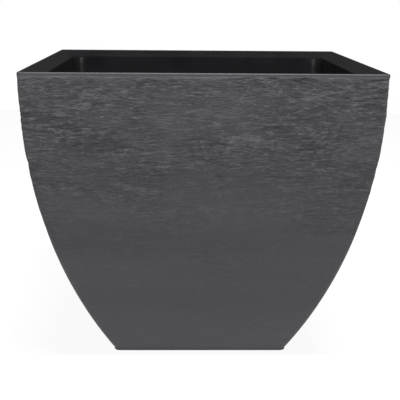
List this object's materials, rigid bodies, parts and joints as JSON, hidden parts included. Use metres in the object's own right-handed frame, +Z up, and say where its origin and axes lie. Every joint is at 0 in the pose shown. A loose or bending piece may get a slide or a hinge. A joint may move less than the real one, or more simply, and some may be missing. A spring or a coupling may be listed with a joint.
{
  "type": "planter box",
  "caption": "Square bowed planter with a slate-textured shell, a drop-in liner, and a reservoir under a lift-out platform.",
  "frame": {"origin": "on the ground under the centre of the planter", "axes": "+Z up, -Y towards the front, all four sides alike"},
  "size_m": [0.5, 0.5, 0.44],
  "materials": {
    "slate_shell": "cleft slate relief, matt anthracite",
    "liner_black": "smooth satin black",
    "rubber_black": "matt",
    "platform_grey": "fine moulded grain",
    "basket_black": "fine moulded grain",
    "tube_black": "satin extruded",
    "collar_black": "satin moulded",
    "cap_black": "satin moulded",
    "pin_steel": "turned",
    "window_clear": "clear polycarbonate",
    "float_foam": "closed-cell foam",
    "rod_red": "smooth moulded",
    "plug_black": "satin moulded",
    "seal_rubber": "matt"
  },
  "bodies": {
    "shell": {"outer_shell": "slate_shell", "foot_pad_1": "rubber_black", "foot_pad_2": "rubber_black", "foot_pad_3": "rubber_black", "foot_pad_4": "rubber_black"},
    "liner": {"inner_liner": "liner_black", "standpipe": "plug_black"},
    "plug_seal": {"plug_seal": "seal_rubber"},
    "drain_plug": {"drain_plug": "plug_black"},
    "platform": {"soil_platform": "platform_grey", "platform_leg_1": "tube_black", "platform_leg_2": "tube_black", "platform_leg_3": "tube_black", "platform_leg_4": "tube_black", "fill_tube": "tube_black", "fill_collar": "collar_black", "cap_hinge_pin": "pin_steel", "gauge_tube": "tube_black", "gauge_window": "window_clear"},
    "fill_cap": {"fill_cap": "cap_black"},
    "float": {"float_body": "float_foam", "float_rod": "rod_red"},
    "wicking_basket_1": {"wicking_basket_1": "basket_black"},
    "wicking_basket_2": {"wicking_basket_2": "basket_black"},
    "wicking_basket_3": {"wicking_basket_3": "basket_black"},
    "wicking_basket_4": {"wicking_basket_4": "basket_black"}
  },
  "joints": [
    {"name": "liner_lift", "type": "slide", "parent": "shell", "child": "liner", "axis": [0, 0, 1], "range_m": [0, 0.45]},
    {"name": "plug_rise", "type": "slide", "parent": "liner", "child": "plug_seal", "axis": [0, 0, 1], "range_m": [0, 0.012]},
    {"name": "plug_turn", "type": "hinge", "parent": "plug_seal", "child": "drain_plug", "pos_m": [0, 0, 0.064], "axis": [0, 0, 1], "range_deg": [0, 1440]},
    {"name": "platform_lift", "type": "slide", "parent": "liner", "child": "platform", "axis": [0, 0, 1], "range_m": [0, 0.42]},
    {"name": "fill_cap_hinge", "type": "hinge", "parent": "platform", "child": "fill_cap", "pos_m": [-0.09249, 0.116, 0.3935], "axis": [-1, 0, 0], "range_deg": [0, 110]},
    {"name": "float_rise", "type": "slide", "parent": "platform", "child": "float", "axis": [0, 0, 1], "range_m": [0, 0.042]},
    {"name": "basket_1_lift", "type": "slide", "parent": "platform", "child": "wicking_basket_1", "axis": [0, 0, 1], "range_m": [0, 0.09]},
    {"name": "basket_2_lift", "type": "slide", "parent": "platform", "child": "wicking_basket_2", "axis": [0, 0, 1], "range_m": [0, 0.09]},
    {"name": "basket_3_lift", "type": "slide", "parent": "platform", "child": "wicking_basket_3", "axis": [0, 0, 1], "range_m": [0, 0.09]},
    {"name": "basket_4_lift", "type": "slide", "parent": "platform", "child": "wicking_basket_4", "axis": [0, 0, 1], "range_m": [0, 0.09]}
  ],
  "couplings": [
    {"joint": "plug_rise", "follows": "plug_turn", "m_per_rad": 0.00047746}
  ]
}
